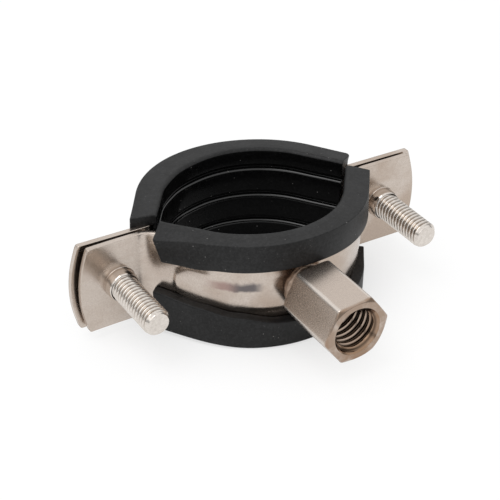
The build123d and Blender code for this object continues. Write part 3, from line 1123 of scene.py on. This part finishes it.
def boss_steel(finish, sizes):
    """Drawn bar with turned ends and worn edges; heat tint at the mouth, heat tint with painted shade by
    the weld, and painted shade in the thread's roots.
    """
    made, wire = new_material("boss_steel")
    place = object_place(wire)
    _, y, z = parts_of(wire, place)
    depth = y - (sizes.base_y - sizes.length)
    away = from_axis(wire, place)
    mottle = noise(wire, place, MOTTLE_SCALE, detail=5.0, roughness=0.6).between(0.30, 0.72)
    cloud = noise(wire, place, TINT_SCALE)
    near_mouth = 1.0 - depth.between(*NEAR_MOUTH)
    near_base = (y - sizes.base_y).between(*NEAR_BASE)
    # Near the base the tint is partly heat tint by the weld, partly painted shade and reflection of the
    # black rubber
    tint = ((near_mouth * 0.9 + near_base * 0.6) * cloud.between(0.30, 0.56)).clamped()
    inside = depth.between(*THREAD_STARTS) * (1.0 - (away - sizes.root_radius).between(*THREAD_ENDS))
    turn_depth = (away - sizes.crest_radius) / (sizes.root_radius - sizes.crest_radius)
    root = inside * turn_depth.between(0.10, 0.62)
    mouth = depth.within(*COUNTERSINK) * (1.0 - (away - sizes.mouth_radius).between(*COUNTERSINK_RIM))
    turned = (away - sizes.mouth_corner_radius).between(*TURNED_CORNERS) * near_mouth
    low = near_mouth * (1.0 - z.between(*LOWER_END_Z)) * cloud.between(0.30, 0.50)
    worn = (away + cloud * 0.0002).between(*WORN_EDGES) * (1.0 - near_mouth)
    base = (mottle * 0.20).mixed(finish.boss_steel, [shade * 0.60 for shade in finish.boss_steel])
    base = tint.mixed(base, finish.boss_tint)
    base = (mouth * (0.45 + cloud * 0.6)).mixed(base, finish.mouth_brown)
    base = (turned * cloud.between(0.36, 0.52) * 0.7).mixed(base, finish.mouth_brown)
    base = (low * 0.7).mixed(base, finish.mouth_brown)
    base = (worn * 0.6).mixed(base, finish.screw_steel)
    base = (inside * 0.45).mixed(base, finish.mouth_brown)
    # Painted shade in the roots of the tapped thread
    base = (root * 0.96).mixed(base, finish.thread_shade)
    drawn = noise(wire, stretched(wire, place, (1.0, 0.06, 1.0)), DRAWN_SCALE)
    rough = finish.boss_roughness + mottle * 0.03 - (near_mouth + inside).clamped() * 0.10
    return metal(made, wire, base, rough, drawn * 0.5 + mottle * 0.15, 0.07, 0.00002)


def weld_steel(finish):
    """Weld with a brown tint and soft ripples."""
    made, wire = new_material("weld_steel")
    cloud = noise(wire, object_place(wire), WELD_SCALE, detail=4.0).between(0.3, 0.7)
    base = cloud.mixed(finish.weld_steel, finish.boss_tint)
    return metal(made, wire, base, 0.34 + cloud * 0.12, cloud, 0.3, 0.00008)


def screw_steel(finish, sizes, name, centre_x):
    """Rolled screw, bright on its crests, with painted shade in its roots."""
    made, wire = new_material(name)
    place = object_place(wire)
    centred = wire.node("ShaderNodeMapping", None, {"Vector": place, "Location": (-centre_x, 0.0, 0.0)})
    away = from_axis(wire, centred)
    _, y, _ = parts_of(wire, place)
    shank = 1.0 - (y - sizes.seat_y).between(-0.0002, 0.0)
    threaded = (y - (sizes.seat_y - sizes.length)).between(0.0004, 0.0009) * shank
    turn_height = (away - sizes.root_radius) / (sizes.crest_radius - sizes.root_radius)
    root = 1.0 - turn_height.between(0.05, 0.65)
    mottle = noise(wire, place, SCREW_MOTTLE_SCALE, detail=4.0, roughness=0.6).between(0.3, 0.75)
    # Painted shade in the thread roots
    base = (root * threaded * 0.92).mixed(finish.screw_steel, finish.screw_root)
    base = (mottle * 0.22).mixed(base, finish.screw_root)
    rough = finish.screw_roughness + mottle * 0.08 + root * threaded * 0.10
    return metal(made, wire, base, rough, mottle, 0.10, 0.00003)


def black_rubber(finish, name, roughness, sheen, bloomed, lips=()):
    """Moulded rubber: faint bloom, fine skin texture, pale dust specks and polished lips.

    bloomed is the share of bloom and texture, and below 1 also a darker base, as painted shade; lips the
    heights of the lips.
    """
    made, wire = new_material(name)
    place = object_place(wire)
    bloom = noise(wire, place, BLOOM_SCALE, detail=5.0, roughness=0.62).between(0.35, 0.75)
    skin = noise(wire, place, SKIN_SCALE, detail=4.0, roughness=0.7)
    pores = noise(wire, place, PORE_SCALE, detail=4.0, roughness=0.65)
    picked = wire.node("ShaderNodeSeparateColor", None, {0: cells(wire, place, SPECK_SCALE, "Color")})
    speck = 1.0 - cells(wire, place, SPECK_SCALE, "Distance").between(0.035, 0.085)
    speck = speck * picked.between(0.52, 0.54)
    fine = 1.0 - cells(wire, place, FINE_SPECK_SCALE, "Distance").between(0.06, 0.15)
    fine = fine * pores.between(0.50, 0.60)
    # Below full bloom the base is darker too: painted shade of the channel's inside
    deep = [shade * (0.4 + 0.6 * bloomed) for shade in finish.rubber]
    patches = bloom * 0.30 + pores.between(0.44, 0.62) * 0.45 + skin.between(0.46, 0.56) * 0.45
    base = (patches * bloomed).mixed(deep, finish.rubber_bloom)
    base = (fine * 0.36 * bloomed).mixed(base, finish.dust)
    base = (speck * 0.75).mixed(base, finish.dust)
    rough = roughness + skin * 0.10 * bloomed + speck * 0.2 - bloom * 0.05
    inputs = {"Base Color": base, "Roughness": rough, "Specular IOR Level": sheen}
    if lips:
        _, _, z = parts_of(wire, place)
        polish = sum((z - level).within((-0.0009, -0.0006), (0.0, 0.00015)) for level in lips)
        inputs["Coat Weight"] = polish.clamped()
        inputs["Coat Roughness"] = 0.12
    height = skin * 0.6 + pores * 0.9 + speck * 0.8
    return principled(made, wire, inputs, height, 0.30 * bloomed, 0.00006)


def plain_floor(stage):
    """White matt floor that keeps a soft shadow."""
    made, wire = new_material("pale_floor")
    inputs = {"Base Color": tuple(stage.floor_colour), "Roughness": 0.9, "Specular IOR Level": 0.0}
    matt = wire.node("ShaderNodeBsdfPrincipled", None, inputs)
    white = wire.node("ShaderNodeEmission", None, {"Color": (1.0, 1.0, 1.0), "Strength": 1.0})
    path = wire.node("ShaderNodeLightPath", None, None, "Is Camera Ray")
    glossy = Wire(wire.tree, path.socket.node.outputs["Is Glossy Ray"])
    from_middle = object_place(wire).size()
    clear = from_middle.between(stage.shade_start, stage.gloss_end)
    open_floor = from_middle.between(stage.shade_start, stage.shade_end)
    glow = stage.floor_shade_glow + open_floor * (stage.floor_glow - stage.floor_shade_glow)
    seen = path * glow + glossy * clear * stage.floor_gloss_glow
    return end_material(made, wire.node("ShaderNodeMixShader", None, {0: seen, 1: matt, 2: white}))


def dress(made, node, body, slot, *materials):
    """Gives a piece its materials and its body, and hides the node that it stands for."""
    for material in materials:
        made.data.materials.append(material)
    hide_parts(node)
    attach(made, body)
    return made


# Operators


# Angles, in degrees, above which an edge stays sharp
BAND_SHARP = 32
RUBBER_AND_WELD_SHARP = 50
BOSS_SHARP = 40
SCREW_SHARP = 48
# Distances at which a thread's points are merged
THREAD_MERGE = 0.000004
SCREW_MERGE = 0.000002
REVOLVED_SEGMENTS = 96
WELD_STEPS = 6
# Share of bloom and texture on the face that grips the pipe; being low, it also paints that face darker, as
# shade
GRIP_BLOOM = 0.25


class ClampBands(bpy.types.Operator):
    """Makes the two steel strips with their ears, collars and holes"""

    bl_idname = "clamp.bands"
    bl_label = "Bands"

    def execute(self, context):
        sizes, screw = context.scene.clamp_band, context.scene.clamp_screw
        finish = context.scene.clamp_finish
        bows = (-sizes.left_ear_bow, sizes.right_ear_bow)
        corner_x = sizes.ear_corner_x
        strip = strip_mesh(sizes, -1, sizes.front_ear_y, corner_x, bows, sizes.right_leg_belly)
        front = new_object("front_band_strip", strip)
        cut(front, hole_cutters(sizes.bore_radius, screw.offset_x))
        ear_start = strip_stations(sizes, -1, sizes.front_ear_y)[-1][0][0]
        share = (screw.offset_x - ear_start) / (corner_x - ear_start)
        collars = []
        for hand, bow in zip((-1, 1), bows):
            collars.append(collar_mesh(sizes, hand * screw.offset_x, bow * share**2))
        # The front strip's material carries the painted reflection beside the boss
        with_painted_reflection = strip_steel(finish, sizes, screw.offset_x, "front_strip_steel", True)
        plain = strip_steel(finish, sizes, screw.offset_x, "rear_strip_steel", False)
        whole = joined("front_band_dressed", [front.data, *collars])
        bpy.data.objects.remove(front)
        dress(weight_normals(finished(whole, BAND_SHARP)), "front_band", "front_half", "band_steel", with_painted_reflection)
        corner_x += sizes.rear_ear_extra
        rear = new_object("rear_band_dressed", strip_mesh(sizes, 1, sizes.rear_ear_y, corner_x, (0.0, 0.0)))
        cut(rear, hole_cutters(sizes.hole_radius, screw.offset_x))
        dress(weight_normals(finished(rear, BAND_SHARP)), "rear_band", "rear_half", "band_steel", plain)
        return {"FINISHED"}


class ClampLiners(bpy.types.Operator):
    """Makes the two rubber channels"""

    bl_idname = "clamp.liners"
    bl_label = "Rubber channels"

    def execute(self, context):
        sizes, band = context.scene.clamp_liner, context.scene.clamp_band
        finish = context.scene.clamp_finish
        outside = black_rubber(finish, "black_rubber", finish.rubber_roughness, finish.rubber_sheen, 1.0)
        lip = sizes.groove_offset - sizes.groove_width / 2
        lips = [lip + sizes.groove_pitch * row for row in (-1, 0, 1)]
        # The face that grips the pipe is smoother, and darker and duller as painted shade of the channel's
        # inside
        smoothness = (finish.grip_roughness, finish.grip_sheen, GRIP_BLOOM)
        inside = black_rubber(finish, "grip_face_rubber", *smoothness, lips)
        depth = liner_depth(sizes)
        free_z = sizes.window / 2
        flange_rise = sizes.height / 2 - sizes.face_drop - free_z

        def front_run(hand, reach):
            slant = sizes.front_left_slant if hand < 0 else sizes.front_right_slant
            return sizes.front_end_run + slant * (1 - reach / depth)

        def front_setback(hand, reach, height):
            if hand > 0 or reach < slot_outside(sizes):
                return 0.0
            down = 1 - kept((abs(height) - free_z) / flange_rise)
            return sizes.upper_cutback * down if height > 0 else -sizes.lower_overhang * down

        def rear_run(hand, reach):
            outer = sizes.rear_left_run if hand < 0 else sizes.rear_right_run
            return sizes.rear_inner_run + (outer - sizes.rear_inner_run) * reach / depth

        def rear_setback(hand, reach, height):
            radius = sizes.rear_end_rounding
            over = max(reach - (depth - radius), 0.0) if hand > 0 else 0.0
            return radius - (radius * radius - over * over) ** 0.5

        channels = (
            ("front_liner", "front_half", -1, front_run, front_drift(sizes), front_setback),
            ("rear_liner", "rear_half", 1, rear_run, rear_drift(sizes), rear_setback),
        )
        for node, body, side, run, drift, setback in channels:
            channel = liner_mesh(sizes, band, side, run, drift, setback)
            made = finished(new_object(node + "_dressed", channel), RUBBER_AND_WELD_SHARP)
            dress(made, node, body, "liner_rubber", outside, inside)
        return {"FINISHED"}


class ClampBoss(bpy.types.Operator):
    """Makes the hexagonal boss with its tapped hole, and its weld"""

    bl_idname = "clamp.boss"
    bl_label = "Threaded boss and weld"

    def execute(self, context):
        sizes, finish = context.scene.clamp_boss, context.scene.clamp_finish
        self.bar(sizes, boss_steel(finish, sizes))
        self.weld(sizes, context.scene.clamp_band, weld_steel(finish))
        return {"FINISHED"}

    def bar(self, sizes, material):
        """Hexagon with its neck, countersink and tapped hole."""
        mouth_y = sizes.base_y - sizes.length
        corners = (sizes.base_corner_radius, sizes.mouth_corner_radius)
        ends = (sizes.base_y, mouth_y, corners, sizes.corner_slope, sizes.edge_wear)
        rings = hexagon_rings(sizes.across_flats, sizes.roll, *ends)
        fillet, edge = sizes.neck_fillet, sizes.mouth_edge
        thread_y = mouth_y + edge / 2
        neck = [(0.0, sizes.neck_end_y), (0.0, sizes.base_y + fillet)]
        neck += [(fillet * 0.32, sizes.base_y + fillet * 0.24), (fillet, sizes.base_y)]
        lip = [(edge, mouth_y), (edge / 3, mouth_y + edge / 6), (0.0, thread_y)]
        inner = [circle_ring(sizes.neck_radius + swell, y, sizes.roll) for swell, y in neck]
        outer = [circle_ring(sizes.mouth_radius + swell, y, sizes.roll) for swell, y in lip]
        points, faces = loft([*inner, *rings, *outer])
        body = bpy.data.meshes.new("bar")
        body.from_pydata([tuple(map(float, point)) for point in points], [], faces)
        tree = thread_tree("inside_thread", True)
        values = {
            "Crest Radius": sizes.root_radius,
            "Root Radius": sizes.crest_radius,
            "Pitch": sizes.pitch,
            "Length": sizes.thread_depth,
            "Start Radius": sizes.mouth_radius,
            "Start Slope": 1.0,
            "End Radius": sizes.crest_radius - 0.0002,
            "Turns": ceil(sizes.thread_depth / sizes.pitch) + 2,
            "Segments": HEXAGON_COLUMNS,
            "Flank Points": 12,
        }
        inwards = Matrix.Rotation(-pi / 2, 4, "X")
        turn = Matrix.Rotation(-sizes.roll, 4, "Z")
        placed = Matrix.Translation((0.0, thread_y, 0.0)) @ inwards @ turn
        thread = thread_mesh(tree, values, material, placed)
        whole = joined("threaded_boss_dressed", [body, thread])
        cleaned(whole.data, THREAD_MERGE)
        made = weight_normals(finished(whole, BOSS_SHARP))
        dress(made, "threaded_boss", "front_half", "boss_steel", material)

    def weld(self, sizes, band, material):
        """Rippled ring of weld round the neck, its foot sunk in the strip."""
        bead_y = band.saddle_offset - band.outer_radius - band.bead_height
        sunk, skirt, overlap, foot_edge = 0.0016, 0.0002, 0.0002, 0.0001
        foot, neck = sizes.weld_radius, sizes.neck_radius - overlap
        profile = [(neck, bead_y + sunk), (foot - foot_edge, bead_y + sunk), (foot, bead_y + skirt)]
        for step in range(WELD_STEPS + 1):
            share = step / WELD_STEPS
            reach = foot + (sizes.neck_radius - foot) * share
            profile.append((reach, bead_y - sizes.weld_height * smooth(share)))
        profile.append((neck, bead_y - sizes.weld_height))

        def ripple(direction):
            return 0.00006 * sin(9 * direction + 1.3) + 0.00005 * sin(17 * direction + 0.4)

        weld = revolved("boss_weld_dressed", profile, 0.0, REVOLVED_SEGMENTS, ripple)
        made = finished(new_object("boss_weld_dressed", weld), RUBBER_AND_WELD_SHARP)
        dress(made, "boss_weld", "front_half", "boss_steel", material)


class ClampScrews(bpy.types.Operator):
    """Makes the two flanged screws with rolled threads"""

    bl_idname = "clamp.screws"
    bl_label = "Screws"

    def execute(self, context):
        sizes, finish = context.scene.clamp_screw, context.scene.clamp_finish
        tree = thread_tree("outside_thread", False)
        for name, hand in (("left_screw", -1), ("right_screw", 1)):
            centre_x = hand * sizes.offset_x
            material = screw_steel(finish, sizes, name + "_steel", centre_x)
            shank = self.shank(sizes, tree, centre_x, material)
            head = self.head(sizes, centre_x)
            whole = joined(name + "_dressed", [shank, self.flange(sizes, centre_x), head.data])
            bpy.data.objects.remove(head)
            dress(weight_normals(finished(whole, SCREW_SHARP)), name, name, "screw_steel", material)
        return {"FINISHED"}

    def shank(self, sizes, tree, centre_x, material):
        """Thread from the flat tip to just inside the flange."""
        overlap = 0.0005
        values = {
            "Crest Radius": sizes.crest_radius,
            "Root Radius": sizes.root_radius,
            "Pitch": sizes.pitch,
            "Length": sizes.length + overlap,
            "Start Radius": sizes.tip_radius,
            "Start Slope": 1.0,
            "End Radius": sizes.root_radius - 0.0001,
            "Turns": ceil(sizes.length / sizes.pitch) + 3,
            "Segments": sizes.segments,
            "Flank Points": sizes.flank_points,
        }
        tip = Matrix.Translation((centre_x, sizes.seat_y - sizes.length, 0.0))
        placed = tip @ Matrix.Rotation(-pi / 2, 4, "X")
        mesh = cleaned(thread_mesh(tree, values, material, placed), SCREW_MERGE)
        # This also puts every face back in the first slot
        mesh.materials.clear()
        return mesh

    def flange(self, sizes, centre_x):
        """Disc under the head, its rim bevelled below and sloped above."""
        seat, disc, rim, edge = sizes.seat_y, sizes.flange_thickness, sizes.flange_radius, sizes.flange_edge
        profile = [(0.0, seat), (rim - edge, seat), (rim, seat + edge)]
        profile += [(rim, seat + disc * 0.55), (rim - edge, seat + disc * 0.66)]
        profile += [(sizes.across_flats / 2, seat + disc), (0.0, seat + disc)]
        return revolved("flange", profile, centre_x, REVOLVED_SEGMENTS)

    def head(self, sizes, centre_x):
        """Hexagon head with its upper corners turned down and a cross recess."""
        seat, disc = sizes.seat_y, sizes.flange_thickness
        top = seat + disc + sizes.head_height
        corners = (sizes.across_flats * 0.6, sizes.across_flats * 0.49)
        ends = (seat + disc * 0.9, top, corners, radians(30), sizes.edge_wear)
        rings = hexagon_rings(sizes.across_flats, 0.0, *ends)
        rings = [[(x + centre_x, y, z) for x, y, z in ring] for ring in rings]
        points, faces = loft(rings)
        count = len(rings[0])
        faces += [tuple(range(count)), tuple(range(len(points) - count, len(points)))]
        head = new_object("head", mesh_from("head", points, faces))
        return cut(head, [self.recess(sizes, centre_x, top)])

    def recess(self, sizes, centre_x, top):
        """Cutter for the cross recess, wider above the head and narrower at its bottom."""
        rings = []
        for y, share in ((top + 0.0005, 1.05), (top - sizes.recess_depth, 0.72)):
            arm, half = sizes.recess_length / 2 * share, sizes.recess_width / 2
            outline = [(arm, -half), (arm, half), (half, half), (half, arm), (-half, arm), (-half, half)]
            outline += [(-x, -z) for x, z in outline]
            rings.append([(centre_x + x, y, z) for x, z in outline])
        points, faces = loft(rings)
        count = len(rings[0])
        faces += [tuple(range(count)), tuple(range(count, 2 * count))]
        return mesh_from("recess", points, faces)


class ClampStage(bpy.types.Operator):
    """Sets the floor, the soft light and the camera"""

    bl_idname = "clamp.stage"
    bl_label = "Stage"

    def execute(self, context):
        stage = context.scene.clamp_stage
        half, level = stage.floor_size / 2, CAD_BOX[0].z
        corners = [(-half, -half, level), (half, -half, level), (half, half, level), (-half, half, level)]
        mesh = bpy.data.meshes.new("floor")
        mesh.from_pydata(corners, [], [(0, 1, 2, 3)])
        mesh.materials.append(plain_floor(stage))
        new_object("floor", mesh)
        self.world(stage)
        self.lamp("key", stage.key_power, stage.key_size, stage.key_place)
        self.lamp("fill", stage.fill_power, stage.fill_size, stage.fill_place)
        self.camera(stage)
        context.scene.view_settings.view_transform = "Standard"
        return {"FINISHED"}

    def world(self, stage):
        """White to the camera; as a light, bright overhead and darker towards the horizon."""
        world = bpy.data.worlds.new("studio")
        world.use_nodes = True
        world.node_tree.nodes.clear()
        wire = Wire(world.node_tree)
        seen = wire.node("ShaderNodeLightPath", None, None, "Is Camera Ray")
        facing = wire.node("ShaderNodeTexCoord", None, None, "Generated")
        lift = parts_of(wire, facing)[2].between(stage.sky_start, stage.sky_full)
        light = lift * (stage.sky_strength - stage.horizon_strength) + stage.horizon_strength
        strength = seen + (1.0 - seen) * light
        light = wire.node("ShaderNodeBackground", None, {"Color": (1.0, 1.0, 1.0), "Strength": strength})
        output = world.node_tree.nodes.new("ShaderNodeOutputWorld")
        world.node_tree.links.new(light.socket, output.inputs["Surface"])
        bpy.context.scene.world = world

    def lamp(self, name, power, size, place):
        """Square soft lamp that faces the object."""
        data = bpy.data.lights.new(name, "AREA")
        data.energy = power
        data.size = size
        made = bpy.data.objects.new(name, data)
        bpy.context.scene.collection.objects.link(made)
        made.location = place
        made.rotation_euler = (-Vector(place)).to_track_quat("-Z", "Y").to_euler()

    def camera(self, stage):
        """Long lens, above and to the left of the boss."""
        data = bpy.data.cameras.new("camera")
        data.lens = stage.focal_length
        data.sensor_width = 36.0
        data.shift_x = stage.shift_right
        data.shift_y = stage.shift_up
        data.clip_start = 0.01
        data.clip_end = 20.0
        made = bpy.data.objects.new("camera", data)
        bpy.context.scene.collection.objects.link(made)
        azimuth, elevation, roll = stage.azimuth, stage.elevation, stage.camera_roll
        back = Vector((sin(azimuth) * cos(elevation), -cos(azimuth) * cos(elevation), sin(elevation)))
        level = Vector((cos(azimuth), sin(azimuth), 0.0))
        upright = back.cross(level)
        right = cos(roll) * level + sin(roll) * upright
        up = cos(roll) * upright - sin(roll) * level
        turned = Matrix((right, up, back)).transposed().to_4x4()
        made.matrix_world = Matrix.Translation(stage.camera_place) @ turned
        bpy.context.scene.camera = made


class ClampPanel(bpy.types.Panel):
    """Lists the clamp's pieces and sizes"""

    bl_idname = "VIEW3D_PT_pipe_clamp"
    bl_label = "Pipe Clamp"
    bl_space_type = "VIEW_3D"
    bl_region_type = "UI"
    bl_category = "Pipe Clamp"

    def draw(self, context):
        for operator in OPERATORS:
            self.layout.operator(operator.bl_idname)
        for name in GROUPS:
            box = self.layout.box()
            group = getattr(context.scene, name)
            for key in group.__annotations__:
                box.prop(group, key)


GROUPS = {
    "clamp_band": ClampBandSizes,
    "clamp_liner": ClampLinerSizes,
    "clamp_boss": ClampBossSizes,
    "clamp_screw": ClampScrewSizes,
    "clamp_finish": ClampFinishes,
    "clamp_stage": ClampStageSettings,
}
OPERATORS = (ClampBands, ClampLiners, ClampBoss, ClampScrews, ClampStage)


def register():
    for made in (*GROUPS.values(), *OPERATORS, ClampPanel):
        bpy.utils.register_class(made)
    for name, group in GROUPS.items():
        setattr(bpy.types.Scene, name, PointerProperty(type=group))


def unregister():
    for name in GROUPS:
        delattr(bpy.types.Scene, name)
    for made in (ClampPanel, *reversed(OPERATORS), *GROUPS.values()):
        bpy.utils.unregister_class(made)


def main():
    register()
    bpy.ops.clamp.bands()
    bpy.ops.clamp.liners()
    bpy.ops.clamp.boss()
    bpy.ops.clamp.screws()
    bpy.ops.clamp.stage()


if __name__ == "__main__":
    main()
